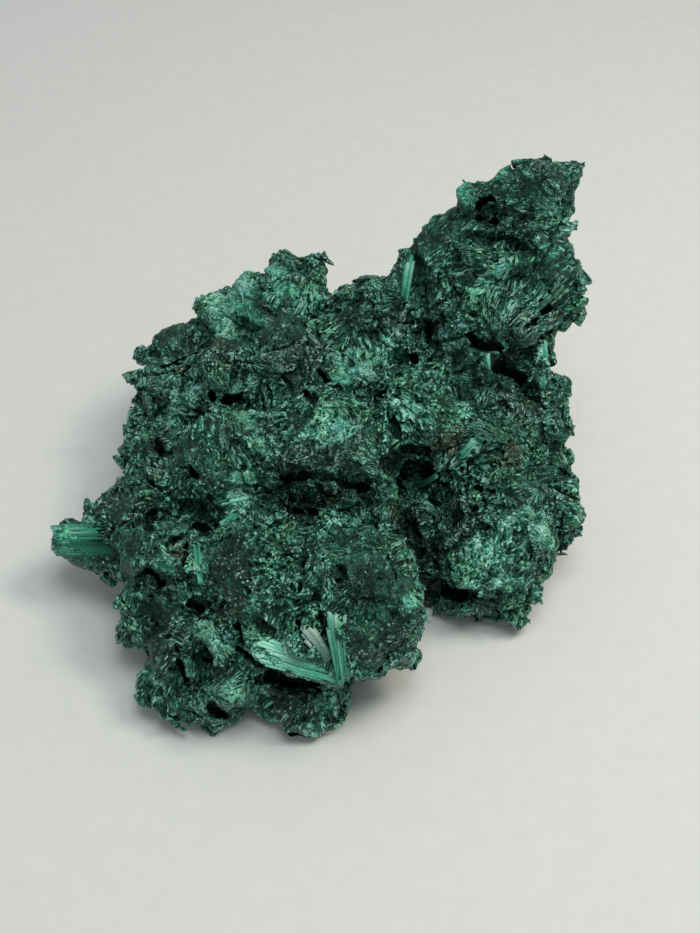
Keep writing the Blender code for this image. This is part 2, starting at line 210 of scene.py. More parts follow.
# Patches: the middle in pixels, and the radius. Silk patches are paler silky fibres, lightened further as
# painted sheen and painted highlight on lit tops and rims; grey and brown ones are coloured so; the darker
# ones are darker crust with painted shade under lips and ledges and in chasms and caves; hollow ones get
# painted shade as if they were deep; smooth ones are velvety, and sponge ones have more holes.
SILK_AND_SHEEN = dict(
    peak_slope=((225, 315), 4.5), peak_rim=((268, 272), 3.5), peak_right=((308, 300), 3),
    saddle_top=((345, 355), 2.5), saddle_streak=((338, 382), 2.5), middle_ridge=((325, 406), 2.5),
    middle_step=((345, 420), 2), star=((410, 405), 3), star_top=((385, 350), 3), hook=((465, 408), 1.6),
    tube_top=((182, 402), 3), tube=((172, 422), 2), mound_front=((254, 415), 3),
    middle_front=((260, 444), 3), turquoise=((232, 506), 3), turquoise_top=((240, 484), 2.5),
    finger_tip=((62, 531), 2.6), finger=((84, 531), 2.6), arm_tuft=((164, 567), 2),
    left_blade=((200, 566), 2.2), left_lobe_rim=((134, 645), 2.2), left_lobe_top=((207, 632), 2.8),
    left_lobe_front=((232, 692), 2.8), left_lobe_side=((190, 665), 1.8), flange=((410, 602), 2),
    grotto_rim=((434, 478), 1.8), lobe_silk=((484, 562), 4.5), lobe_silk_left=((470, 582), 3),
    lobe_silk_right=((502, 585), 3), lobe_top=((515, 530), 3.2), plate_edge=((545, 352), 1.8),
    spire_rim=((466, 194), 2.5), spire_slits=((502, 215), 1.5), spire_right=((546, 206), 2.2),
    spire_edge=((566, 226), 2.2), spire_flow=((480, 286), 2.6), spire_flow_right=((502, 275), 2.2),
    fan_left=((270, 650), 3), fan_middle=((300, 655), 3), foot=((330, 702), 2.2),
    peak_face=((280, 283), 4), peak_left=((215, 300), 4), star_left=((365, 362), 3.5),
    plateau_rim=((330, 428), 4), left_lobe_face=((218, 640), 3), lobe_right=((540, 520), 4),
)
# Darker crust, partly painted shade under lips and ledges and in chasms and caves.
DARK_AND_SHADE = dict(
    under_lip=((300, 500), 5), lip=((285, 478), 3), chasm=((415, 530), 6), chasm_low=((435, 585), 5),
    cave=((512, 365), 5.5), spire_vug=((490, 212), 4), spire_flank=((520, 228), 3),
    cheek=((160, 440), 3.5), shoulder=((150, 510), 3.5), arm_under=((155, 578), 4), arm=((110, 562), 3.5),
    left_lobe=((160, 620), 4), left_lobe_gap=((178, 670), 3.5), under_fan=((290, 680), 4),
    foot=((300, 705), 3.5), front_left=((235, 560), 4.5), front_gap=((205, 530), 3),
    brow=((360, 590), 4.5), brow_right=((395, 640), 4), notch=((345, 318), 3),
    tuft_foot=((430, 330), 2.5), lobe_foot=((490, 602), 4), plate_edge=((552, 312), 2.5),
    peak_right=((330, 275), 2.5),
)
# Painted shade: these patches are darkened as if they lay deeper.
PAINTED_SHADE_HOLLOWS = dict(
    chasm=((410, 525), 4), chasm_middle=((420, 555), 3.5), chasm_low=((433, 580), 4),
    grotto=((406, 466), 4.5), cave=((512, 366), 4.5), cave_left=((480, 350), 2.5),
    fan_shadow=((290, 682), 3.5), mound_hole=((228, 398), 2.5), saddle_hole=((382, 397), 2),
    cheek=((160, 442), 2), arm_pit=((155, 578), 2.5), blade_hole=((196, 606), 2),
    left_lobe_gap=((181, 668), 2), lip=((295, 478), 2.2), lip_cave=((305, 511), 2),
    spire_vug=((484, 208), 2.5), tuft_hole=((429, 331), 1.5), lobe_underside=((455, 592), 3),
)
GREY = dict(
    middle_mound=((300, 350), 6), middle_mound_left=((275, 345), 4), round_mound=((222, 355), 4),
    plateau=((340, 440), 5.5), plateau_left=((298, 452), 4), peak_cap=((300, 253), 2.5),
    saddle=((395, 322), 4), plate=((524, 325), 3), spire_top=((545, 172), 3), lobe=((455, 520), 5.5),
    lobe_left=((440, 555), 3.5), right_flank=((520, 402), 5), left_lobe=((160, 645), 4.5),
    left_side=((112, 500), 4), brow=((376, 655), 3), back_left=((150, 470), 2.5),
)
BROWN = dict(
    round_mound=((216, 345), 3), mound_left=((180, 372), 1.5), shelf_back=((235, 602), 3),
    shelf_back_left=((216, 615), 2.5), hook=((450, 445), 3.5), flank=((508, 456), 3), lip=((332, 498), 3),
    arm=((176, 549), 2), foot=((288, 698), 3.2), chasm=((395, 512), 2),
)
SMOOTH = dict(
    round_mound=((219, 347), 4.5), middle_mound=((282, 322), 4.5), saddle_plate=((335, 372), 3.5),
    peak_top=((280, 268), 3.5), plateau_left=((300, 425), 3.5), front_middle=((240, 545), 4),
    left_arm=((120, 545), 4), finger=((75, 542), 6), left_middle=((215, 470), 4),
    left_low=((160, 610), 4.5), shoulder=((125, 505), 4), peak=((250, 305), 4),
    peak_slope=((285, 290), 3), tube=((186, 440), 4), brow=((375, 555), 5.5), brow_low=((388, 600), 5),
    brow_right=((368, 640), 5), brow_left=((345, 540), 3), front_left=((230, 572), 5),
    front_low=((250, 610), 3), saddle=((402, 362), 3), back_left=((170, 335), 5),
    spire_plate=((540, 262), 4.5), spire_foot=((415, 262), 4), spire_ridge=((440, 228), 5),
    spire_ridge_high=((468, 195), 4), spire_ridge_top=((498, 180), 4), spire_top=((530, 175), 5),
    left_side=((130, 560), 4), left_lobe=((200, 665), 3), left_lobe_outer=((150, 640), 4),
    right_flank=((560, 440), 3), plateau=((345, 440), 4),
)
SPONGE = dict(
    middle=((310, 385), 4), mound_front=((275, 432), 4), under_lip=((290, 500), 6), front=((270, 540), 6),
    front_low=((300, 565), 5), saddle=((418, 312), 3.5), plate_left=((440, 332), 3), hook=((480, 400), 4),
    left=((165, 510), 4), arm=((150, 582), 3), spire=((490, 222), 5), flank=((495, 440), 4),
    chasm=((402, 490), 4), right_edge=((550, 340), 4),
)
# The patches, with a shift of the noise on their edges.
PATCHES = {
    "silk_and_sheen": (SILK_AND_SHEEN, 13.0),
    "grey": (GREY, 23.0),
    "brown": (BROWN, 33.0),
    "smooth": (SMOOTH, 43.0),
    "sponge": (SPONGE, 53.0),
    "dark_and_shade": (DARK_AND_SHADE, 63.0),
    "hollow": (PAINTED_SHADE_HOLLOWS, 73.0),
}
PATCH_RIM = ((0.55, 3.0, 0.0), (0.3, 1.2, 5.0))  # height, size and shift of that noise
PATCH_EDGE = (0.55, 1.15)  # shares of the radius where a patch begins and ends to fade
# On the side that the camera doesn't see, zones come from noise: which one, its sign, and where they begin.
UNSEEN = (-2.0, 12.0)  # how far behind the middle that side begins
BEHIND = {"wide": (11.0, 71.0), "narrow": (4.0, 81.0)}  # size and shift
ZONES_BEHIND = {
    "silk_and_sheen": ("wide", 1, 0.25, 0.55),
    "grey": ("wide", -1, 0.25, 0.6),
    "brown": ("narrow", 1, 0.55, 0.75),
    "dark_and_shade": ("narrow", -1, 0.45, 0.75),
}

# Materials. Noise is given as lumps to a millimetre, detail and roughness.
LANES, LATH_LENGTH = 30.0, 2.4  # laths to a radian, and their length
GRAIN = 0.36  # size of the crystal faces that lie across the fibres
ALONG_FIBRE = np.array((0.31, 0.55, 0.77), np.float32)  # the way through the noise along a fibre
LANE_SHUFFLE = 0.37  # sets each fan's fibres apart from the next one's
SPECKLE, FINE_SPECKLE = (3.2, 3.0, 0.7), (3.2, 2.0, 0.6)
BLOTCH, TINT_DRIFT = (0.35, 3.0, 0.6), (0.2, 2.0, 0.5)
COMBED, COMBED_IF_SMOOTH = (0.15, 0.55), 0.5  # how side-on fibres show as laths, and their share if smooth
CALM_FACETS = 0.6  # contrast that is left in smooth patches
FACET_TONE, BLOTCH_TONE, MIDDLE_TONE = 1.2, 1.3, 0.325
SPECKLE_TONE, COMBED_SPECKLE_TONE = 1.4, 0.8
# Tone shifts. Silk is lighter, partly painted sheen; the darker patches are partly painted shade; crests are
# lighter as painted highlight on rims, and pits darker as painted shade.
TONES_AND_PAINTED_LIGHT = {"smooth": -0.06, "silk_and_sheen": 0.13, "dark_and_shade": -0.38, "fine_crest": 0.55, "wide_crest": 0.38}
PAINTED_GLINT_CATCHES = {"fine_crest": 0.5, "silk_and_sheen": 0.20}  # painted glints: what else makes a crystal face come out pale as if it caught the light
PAINTED_GLINT_FACES, PAINTED_GLINT_COVER = (0.86, 0.95), 0.85
TINT_EDGE = (0.4, 0.6)
CRUST_ROUGHNESS = (0.35, 0.65, 0.22, 0.52)  # the speckle's range, and the roughness at each end
FACET_TILT = 1.2
LATH_BUMP, GRAIN_BUMP, SPECKLE_BUMP = -0.5, -0.3, 0.5
BUMP_STRENGTH, BUMP_HEIGHT = 0.8, 0.3
PAINTED_PIT_SHADE = (0.5, 2.3, 1.0, 0.05)  # painted shade: the depths where pits begin and end to darken, and the shade at each
GREY_COVER = 0.85
LATH_TONES = (0.6, 0.6, 0.15, -0.1)  # of the crystal, the speckle and the way along it, and in all
BLADE_TONES = (0.75, 0.7, 0.45, -0.48)
LATH_ROUGHNESS, BLADE_ROUGHNESS, IOR = 0.25, 0.28, 1.6

# Stage. A light's azimuth 0 is the back, and 90 is the right. Its lengths are in metres.
FLOOR_HALF = 1.5
MOTTLE = (260.0, 3.0, 0.6)  # lumps to a metre, detail and roughness
PAPER_DARK, PAPER_PALE = (0.71, 0.72, 0.705, 1.0), (0.79, 0.795, 0.775, 1.0)
PAPER_ROUGHNESS, PAPER_SPECULAR = 0.9, 0.1
ROOM_COLOR, ROOM_STRENGTH = (0.93, 0.97, 1.0, 1.0), 0.34
LIGHTS = {
    "window": {
        "azimuth": 150, "elevation": 78, "distance": 0.6,
        "size": 0.25, "power": 1.28, "color": (0.90, 0.98, 0.97),
    },
    "lamp": {
        "azimuth": 92, "elevation": 60, "distance": 0.5,
        "size": 0.14, "power": 0.86, "color": (1.0, 0.91, 0.78),
    },
}


# ---------------------------------------------------------------- noise

def corner_shares(part):
    """Each corner of a cell, with its share in the value at a place that is this part of the way across."""
    for corner in CORNERS:
        x, y, z = (part[:, axis] if corner[axis] else 1 - part[:, axis] for axis in range(3))
        yield corner, x * y * z


class Lattice:
    """Smooth gradient noise and cells on a repeating lattice of random values."""

    SIZE = 64

    def __init__(self, seed):
        random = np.random.default_rng(seed)
        cells = self.SIZE**3
        gradients = random.normal(size=(cells, 3))
        gradients /= np.linalg.norm(gradients, axis=1, keepdims=True)
        self.gradients = gradients.astype(np.float32)
        self.jitter = random.random((cells, 3), dtype=np.float32)

    def index(self, cell):
        x, y, z = (cell & (self.SIZE - 1)).T
        return (x * self.SIZE + y) * self.SIZE + z

    def noise(self, points, scale=1.0, shift=0.0):
        """Gradient noise of about -1 to 1, with lumps about one scale wide."""
        result = np.empty(len(points), np.float32)
        for start in range(0, len(points), NOISE_BLOCK):
            block = slice(start, start + NOISE_BLOCK)
            result[block] = self._noise(points[block] / np.float32(scale) + np.float32(shift))
        return result

    def _noise(self, points):
        base = np.floor(points)
        part = points - base
        cell = base.astype(np.int32)
        fade = part * part * part * (part * (part * 6 - 15) + 10)
        total = 0
        for corner, share in corner_shares(fade):
            gradient = self.gradients[self.index(cell + np.array(corner, np.int32))]
            dot = sum(gradient[:, axis] * (part[:, axis] - corner[axis]) for axis in range(3))
            total = total + share * dot
        return total * np.float32(NOISE_GAIN)

    def layered(self, points, layers, shift=0.0):
        """The sum of noises that are each given by height, size and shift."""
        return sum(height * self.noise(points, size, own + shift) for height, size, own in layers)

    def cells(self, points, scale):
        """For each point: how far the nearest two seeds are, the nearest one and its number."""
        count = len(points)
        near, second = np.empty((2, count), np.float32)
        seed = np.empty((count, 3), np.float32)
        number = np.empty(count, np.int32)
        for start in range(0, count, CELL_BLOCK):
            part = slice(start, start + CELL_BLOCK)
            *found, number[part] = self._cells(points[part] / np.float32(scale))
            near[part], second[part], seed[part] = (values * scale for values in found)
        return near, second, seed, number

    def _cells(self, points):
        cell = np.floor(points).astype(np.int32)
        count = len(points)
        near = np.full(count, FAR, np.float32)
        second = np.full(count, FAR, np.float32)
        seed = np.zeros((count, 3), np.float32)
        number = np.zeros(count, np.int32)
        for offset in product((-1, 0, 1), repeat=3):
            other = cell + np.array(offset, np.int32)
            at = self.index(other)
            place = other + self.jitter[at]
            away = points - place
            square = (away * away).sum(1)
            closer = square < near
            second = np.where(closer, near, np.minimum(second, square))
            near = np.where(closer, square, near)
            seed[closer] = place[closer]
            number[closer] = at[closer]
        return np.sqrt(near), np.sqrt(second), seed, number


# ---------------------------------------------------------------- crust

def ramp(values, low, high):
    """0 below low, 1 above high, smooth between."""
    part = np.clip((values - low) / (high - low), 0, 1)
    return part * part * (3 - 2 * part)


def rows(items, name, kind=np.float32):
    """One row of three numbers for each item of a mesh."""
    values = np.empty(len(items) * 3, kind)
    items.foreach_get(name, values)
    return values.reshape(-1, 3)


def mesh_arrays(mesh):
    """Corners in metres, their normals, and triangles."""
    mesh.calc_loop_triangles()
    triangles = rows(mesh.loop_triangles, "vertices", np.int32)
    return rows(mesh.vertices, "co"), rows(mesh.vertex_normals, "vector"), triangles


def solid_surface(obj):
    """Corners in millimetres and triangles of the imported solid, with its split corners welded."""
    corners, _, triangles = mesh_arrays(obj.data)
    microns = np.round(corners * MICRONS).astype(np.int64)
    unique, number = np.unique(microns, axis=0, return_inverse=True)
    triangles = number.reshape(-1)[triangles]
    return (unique / (MICRONS * MM)).astype(np.float32), triangles.astype(np.uint32)


class Field:
    """Signed distance to the surface on a grid, in millimetres, negative inside."""

    def __init__(self, corners, triangles, voxel, band):
        self.voxel = voxel
        self.transform = openvdb.createLinearTransform(voxelSize=voxel)
        grid = openvdb.FloatGrid.createLevelSetFromPolygons(
            points=corners, triangles=triangles, transform=self.transform, halfWidth=band / voxel
        )
        low, high = grid.evalActiveVoxelBoundingBox()
        self.low = low
        shape = tuple(high[axis] - low[axis] + 1 for axis in range(3))
        self.values = np.full(shape, band, np.float32)
        grid.copyToArray(self.values, ijk=low)

    def points(self, where):
        return (np.stack(where, 1) + np.array(self.low)).astype(np.float32) * np.float32(self.voxel)

    def sample(self, points):
        """The distance at any point, between the grid's values."""
        place = points / self.voxel - np.array(self.low)
        place = np.clip(place, 0, np.array(self.values.shape) - GRID_EDGE)
        cell = place.astype(np.int32)
        total = 0
        for corner, share in corner_shares((place - cell).astype(np.float32)):
            total = total + share * self.values[tuple((cell + corner).T)]
        return total

    def polygons(self, values, band):
        grid = openvdb.FloatGrid(background=band)
        grid.copyFromArray(values, ijk=self.low)
        grid.transform = self.transform
        return grid.convertToQuads(isovalue=0.0)


class Sight:
    """Finds the spot on the solid that the camera sees at a pixel."""

    def __init__(self, corners, triangles):
        self.tree = BVHTree.FromPolygons(corners.tolist(), triangles.tolist())
        self.eye = AIM - LOOK * CAMERA_DISTANCE

    def spot(self, pixel):
        focal = LENS / SENSOR * FRAME_HEIGHT
        across = (pixel[0] - FRAME_WIDTH / 2) / focal
        down = (pixel[1] - FRAME_HEIGHT / 2) / focal
        way = (LOOK + RIGHT * across - UP * down).normalized()
        found = self.tree.ray_cast(self.eye, way)[0]
        if found is None:
            found = self.tree.find_nearest(self.eye + way * CAMERA_DISTANCE)[0]
        return np.array(found, np.float32)


def drifted(lattice, points):
    """The points moved a little by smooth noise, so that no cell has straight sides."""
    drift = np.stack([lattice.noise(points, DRIFT_SIZE, shift) for shift in DRIFT_SHIFTS], 1)
    return points + drift * np.float32(DRIFT)


class Fans:
    """For each point: the root of its fan, its way and distance from there, and the edge of the fan."""

    def __init__(self, lattice, sight, points):
        moved = drifted(lattice, points)
        near, second, root, _ = lattice.cells(moved, FAN_SIZE)
        edge = second - near
        span = np.ones(len(points), np.float32)
        swept = np.zeros(len(points), np.float32)
        for middle, reach, origin in SWEEPS.values():
            middle, origin = sight.spot(middle), sight.spot(origin)
            inside = np.linalg.norm(moved - middle, axis=1) < reach
            root[inside] = origin
            span[inside] = max(1.0, np.linalg.norm(middle - origin) / FAN_SIZE)
            edge[inside] = FAN_SIZE
            swept[inside] = 1
        near = np.linalg.norm(moved - root, axis=1)
        self.moved, self.near, self.edge, self.span, self.cell = moved, near, edge, span, root
        self.swept = swept
        self.along = (moved - root) / np.maximum(near, ROOT_CLEAR)[:, None]
        self.root = root + points - moved

    def lanes(self, fineness, length):
        """Coordinates in which a fibre is about one unit wide and one length long."""
        across = self.along * (fineness * self.span)[:, None] + self.cell * np.float32(LANE_SHUFFLE)
        return across + (self.near / length)[:, None] * ALONG_FIBRE

    def fibres(self, lattice, fineness):
        """Noise that comes out as fibres."""
        return lattice.noise(self.lanes(fineness, FIBRE_LENGTH))


def vugs(lattice, sight, points):
    """How far inside a named vug a point is; negative outside."""
    result = np.full(len(points), NO_VUG, np.float32)
    for start, end, half_width in VUGS.values():
        start, end = sight.spot(start), sight.spot(end)
        reach = np.linalg.norm(end - start) / 2 + half_width + VUG_REACH
        close = np.nonzero(np.abs(points - (start + end) / 2).max(1) < reach)[0]
        offset = points[close] - start
        run = end - start
        flat_run = run - SIGHT * (run @ SIGHT)
        flat = offset - (offset @ SIGHT)[:, None] * SIGHT
        share = np.clip((flat @ flat_run) / max(flat_run @ flat_run, TINY), 0, 1)
        across = np.linalg.norm(flat - share[:, None] * flat_run, axis=1)
        inward = (offset - share[:, None] * run) @ SIGHT
        beyond = np.maximum(np.maximum(-VUG_ABOVE - inward, inward - VUG_BELOW), 0)
        result[close] = np.maximum(result[close], half_width - across - beyond)
    return result + lattice.layered(points, VUG_RIM)


def shards(lattice, places, size, column, step, tilt, width):
    """Height of a skin that is broken into cells, each with its own level and slope, and 1 between them."""
    near, second, seed, number = lattice.cells(places, size)
    slope = (lattice.gradients[number] * (places - seed)).sum(1)
    height = step * (lattice.jitter[number, column] - 0.5) + tilt * slope
    return height, 1 - ramp(second - near, 0.0, width)


def broken_surface(lattice, sight, points):
    """Height of the fans, splinters, blocks and cracks at points close to the skin."""
    fans = Fans(lattice, sight, points)
    fibre = fans.fibres(lattice, COARSE_FIBRES)
    crevice = 1 - ramp(fans.edge, 0.0, CREVICE_WIDTH)
    lanes = fans.lanes(SPLINTERS, SPLINTER_LENGTH)
    splinter, crack = shards(lattice, lanes, 1.0, 1, SPLINTER_STEP, SPLINTER_TILT, CRACK_WIDTH)
    block, gap = shards(lattice, fans.moved, BLOCK_SIZE, 0, BLOCK_STEP, BLOCK_TILT, GAP_WIDTH)
    hump = HUMP_HEIGHT * lattice.noise(points, HUMP_SIZE, HUMP_SHIFT)
    deep = CREVICE_DEPTH * crevice + GAP_DEPTH * gap + CRACK_DEPTH * crack
    still = np.maximum(patches(lattice, sight, points, "smooth"), near_blades(sight, points))
    broken = (hump + block + splinter - deep) * (1 - CALM * still)
    return broken + COARSE_HEIGHT * fibre * (1 - FINE_CALM * still)


def scattered_holes(lattice, points, moved, more, kind):
    """How far inside a scattered hole a point is; negative outside."""
    size = kind["size"]
    height, part = kind["fine"]
    coarse_shift, fine_shift = kind["shifts"]
    noise = lattice.noise(moved, size, coarse_shift) + height * lattice.noise(points, part * size, fine_shift)
    return (noise - kind["bar"] + more) * size * kind["steep"]


def carve(lattice, sight, points, depth):
    """The field after the broken surface, the vugs and the pores are cut into the skin."""
    field = depth.copy()
    skin = np.nonzero(np.abs(depth) < RELIEF_REACH)[0]
    fade = 1 - ramp(np.abs(depth[skin]), RELIEF_FADE * RELIEF_REACH, RELIEF_REACH)
    field[skin] -= broken_surface(lattice, sight, points[skin]) * fade

    moved = drifted(lattice, points)
    spongy = patches(lattice, sight, points, "sponge") - patches(lattice, sight, points, "smooth")
    more = lattice.layered(points, HOLE_DRIFT) + SPONGY * spongy
    hollow = scattered_holes(lattice, points, moved, more, VUG)
    hollow = np.minimum(np.maximum(hollow, vugs(lattice, sight, points)), depth + VUG["depth"])
    pore = np.minimum(scattered_holes(lattice, points, moved, more, PORE), depth + PORE["depth"])
    return np.maximum(np.maximum(field, hollow), pore)


def near_blades(sight, points):
    """1 at the blades, 0 away from them."""
    result = np.zeros(len(points), np.float32)
    for start, end, _, width, *_ in BLADES.values():
        start, end = sight.spot(start), sight.spot(end)
        run = end - start
        share = np.clip(((points - start) @ run) / (run @ run), 0, 1)
        away = np.linalg.norm(points - start - share[:, None] * run, axis=1)
        result = np.maximum(result, 1 - ramp(away, width / 2, width / 2 + BLADE_CALM))
    return result


def largest_part(points, quads):
    """Drops what isn't joined to the main skin."""
    label = np.arange(len(points))
    while True:
        lowest = label[quads].min(1)
        before = label.copy()
        for corner in range(4):
            np.minimum.at(label, quads[:, corner], lowest)
        label = label[label]
        if np.array_equal(label, before):
            break
    kept = label == np.bincount(label).argmax()
    renumber = np.cumsum(kept) - 1
    return points[kept], renumber[quads[kept[quads[:, 0]]]]


def new_mesh(name, points, faces):
    """A mesh object from corners in millimetres and faces of one size."""
    mesh = bpy.data.meshes.new(name)
    size = faces.shape[1]
    mesh.vertices.add(len(points))
    mesh.vertices.foreach_set("co", (points * MM).astype(np.float32).ravel())
    mesh.loops.add(faces.size)
    mesh.loops.foreach_set("vertex_index", faces.astype(np.int32).ravel())
    mesh.polygons.add(len(faces))
    mesh.polygons.foreach_set("loop_start", np.arange(0, faces.size, size, dtype=np.int32))
    mesh.update(calc_edges=True)
    mesh.shade_flat()
    return linked(name, mesh)


def linked(name, data):
    """An object in the scene that holds the data."""
    obj = bpy.data.objects.new(name, data)
    bpy.context.scene.collection.objects.link(obj)
    return obj


def crust_mesh(lattice, sight, field):
    """The carved skin as one mesh, thinned out to its budget of triangles."""
    where = np.nonzero((field.values < RELIEF_REACH) & (field.values > -VUG["depth"] - SKIN_SPARE))
    values = field.values.copy()
    values[where] = carve(lattice, sight, field.points(where), field.values[where])
    points, quads = field.polygons(values, BAND)
    points, quads = largest_part(points, quads.astype(np.int64))
    obj = new_mesh("crust", points, quads)
    decimate = obj.modifiers.new("thin out", "DECIMATE")
    decimate.ratio = min(1.0, CRUST_TRIANGLES / (2 * len(quads)))
    decimate.use_collapse_triangulate = True
    graph = bpy.context.evaluated_depsgraph_get()
    mesh = bpy.data.meshes.new_from_object(obj.evaluated_get(graph))
    points, normals, triangles = mesh_arrays(mesh)
    bpy.data.objects.remove(obj)
    return points / MM, normals, triangles


def roughen(lattice, points, normals, fans):
    """Fine fibre ends and grains on the crust."""
    fine = FINE_HEIGHT * fans.fibres(lattice, FINE_FIBRES)
    grain = GRAIN_HEIGHT * lattice.noise(points, GRAIN_SIZE, GRAIN_SHIFT)
    return points + normals * (fine + grain)[:, None]


def crests(points, normals, triangles):
    """How far each corner stands out over its surroundings, finely and widely: negative in pits."""
    edges = np.concatenate((triangles[:, (0, 1)], triangles[:, (1, 2)], triangles[:, (2, 0)]))
    first, second = np.concatenate((edges, edges[:, ::-1])).T
    count = np.bincount(first, minlength=len(points)).astype(np.float32)
    mean = points
    result = []
    for rounds in CREST_ROUNDS:
        for _ in range(rounds):
            sums = [np.bincount(first, mean[second, axis], len(points)) for axis in range(3)]
            mean = np.stack([values / count for values in sums], 1).astype(np.float32)
        result.append(((points - mean) * normals).sum(1))
    return result


def patches(lattice, sight, points, kind):
    """How far a point is inside any of the named patches of a kind, 0 to 1, with ragged edges."""
    places, shift = PATCHES[kind]
    ragged = lattice.layered(points, PATCH_RIM, shift)
    total = np.zeros(len(points), np.float32)
    for middle, radius in places.values():
        away = np.linalg.norm(points - sight.spot(middle), axis=1) / radius
        total = np.maximum(total, 1 - ramp(away + ragged, *PATCH_EDGE))
    return total


def zones(lattice, sight, points):
    """Shares of silk with painted sheen, grey crust, brown stain, and darker crust with painted shade: named
    in front, from noise behind.
    """
    unseen = ramp((points - points.mean(0)) @ SIGHT, *UNSEEN)
    noises = {name: lattice.noise(points, size, shift) for name, (size, shift) in BEHIND.items()}
    shares = {}
    for kind, (name, sign, low, high) in ZONES_BEHIND.items():
        behind = ramp(sign * noises[name], low, high) * unseen
        shares[kind] = np.maximum(patches(lattice, sight, points, kind), behind)
    return shares


def add_attribute(obj, name, values):
    kind, key = ("FLOAT_VECTOR", "vector") if values.ndim == 2 else ("FLOAT", "value")
    attribute = obj.data.attributes.new(name, kind, "POINT")
    attribute.data.foreach_set(key, values.astype(np.float32).ravel())


def split_crust(points, triangles):
    """Cuts the skin into one set of triangles for each crust piece, front to back, of equal counts."""
    middle = points[triangles, 1].mean(1)
    order = np.argsort(middle, kind="stable")
    return [triangles[part] for part in np.array_split(order, len(CRUST_PIECES))]


def build_crust(lattice, sight, field, low, high):
    """The crust pieces, with the attributes that their material reads."""
    points, normals, triangles = crust_mesh(lattice, sight, field)
    fans = Fans(lattice, sight, points)
    points = roughen(lattice, points, normals, fans)
    points = np.clip(points, low + CLEARANCE, high - CLEARANCE)
    fine_crest, wide_crest = crests(points, normals, triangles)
    layers = {
        "root": fans.root * MM,
        "span": fans.span,
        **zones(lattice, sight, points),
        "smooth": patches(lattice, sight, points, "smooth"),
        # Depth below the solid, with painted shade added in the named hollows; the material darkens by it.
        "depth": PAINTED_HOLLOW_SHADE * patches(lattice, sight, points, "hollow") - field.sample(points),
        "side_on": 1 - np.abs((normals * fans.along).sum(1)),
        # Rims and pits, which the crust's material turns into painted highlight and painted shade.
        "fine_crest": fine_crest,
        "wide_crest": wide_crest,
    }
    pieces = []
    for name, part in zip(CRUST_PIECES, split_crust(points, triangles)):
        used, number = np.unique(part, return_inverse=True)
        obj = new_mesh(name, points[used], number.reshape(part.shape))
        for layer, values in layers.items():
            add_attribute(obj, layer, values[used])
        pieces.append(obj)
    return pieces, points, normals, triangles, fans, layers


# ---------------------------------------------------------------- laths and blades

def triangle_rings(base, direction, across, stations):
    """Three corners around each crystal at each station, which is a distance along it and a half width."""
    side = unit(np.cross(direction, across))
    third = np.cross(direction, side)
    rings = []
    for along, width in stations:
        middle = base + direction * along[:, None]
        for turn in range(3):
            angle = turn * math.tau / 3
            around = side * math.cos(angle) + third * (FLATTER * math.sin(angle))
            rings.append(middle + around * width[:, None])
    return rings


def spikes(base, direction, across, length, width):
    """Three-sided crystals, pointed at both ends: corners, triangles, and how far along each corner is."""
    waist = triangle_rings(base, direction, across, [(WAIST * length, width)])
    corners = [base, *waist, base + direction * length[:, None]]
    faces = ((2, 1, 0), (3, 2, 0), (1, 3, 0), (1, 2, 4), (2, 3, 4), (3, 1, 4))
    return joined(corners, faces, (0, WAIST, WAIST, WAIST, 1))


def bars(base, direction, across, length, width):
    """The same for three-sided crystals that are broken off square at both ends."""
    corners = triangle_rings(base, direction, across, [(0 * length, BAR_TAPER * width), (length, width)])
    faces = [(0, 2, 1), (3, 4, 5)]
    for turn in range(3):
        other = (turn + 1) % 3
        faces += [(turn, other, other + 3), (turn, other + 3, turn + 3)]
    return joined(corners, faces, (0, 0, 0, 1, 1, 1))


def joined(corners, faces, along):
    """One set of corners and triangles for many crystals alike."""
    points = np.stack(corners, 1)
    count, size = points.shape[:2]
    first = np.arange(count)[:, None, None] * size
    return points.reshape(-1, 3), (first + np.array(faces)).reshape(-1, 3), np.tile(along, count), size


def surface_samples(random, points, triangles, weight, count):
    """Places scattered over the skin: the triangle and the place in it."""
    a, b, c = (points[triangles[:, corner]] for corner in range(3))
    area = np.linalg.norm(np.cross(b - a, c - a), axis=1) * weight
    total = np.cumsum(area)
    chosen = np.searchsorted(total, random.random(count) * total[-1])
    chosen = np.minimum(chosen, len(triangles) - 1)
    u, v = random.random((2, count))
    flip = u + v > 1
    u, v = np.where(flip, 1 - u, u), np.where(flip, 1 - v, v)
    shares = np.stack((1 - u - v, u, v), 1).astype(np.float32)
    return chosen, shares


def unit(vectors):
    return vectors / np.maximum(np.linalg.norm(vectors, axis=1, keepdims=True), TINY)


def add_crystals(name, shape, base, direction, across, length, width, layers, box):
    """One mesh of crystals that stay inside the box."""
    low, high = box
    tip = base + direction * length[:, None]
    inside = ((tip > low + CLEARANCE) & (tip < high - CLEARANCE)).all(1)
    corners, faces, reach, size = shape(*(part[inside] for part in (base, direction, across, length, width)))
    obj = new_mesh(name, np.clip(corners, low, high), faces)
    add_attribute(obj, "reach", reach)
    for layer, values in layers.items():
        add_attribute(obj, layer, np.repeat(values[inside], size, axis=0))
    return obj


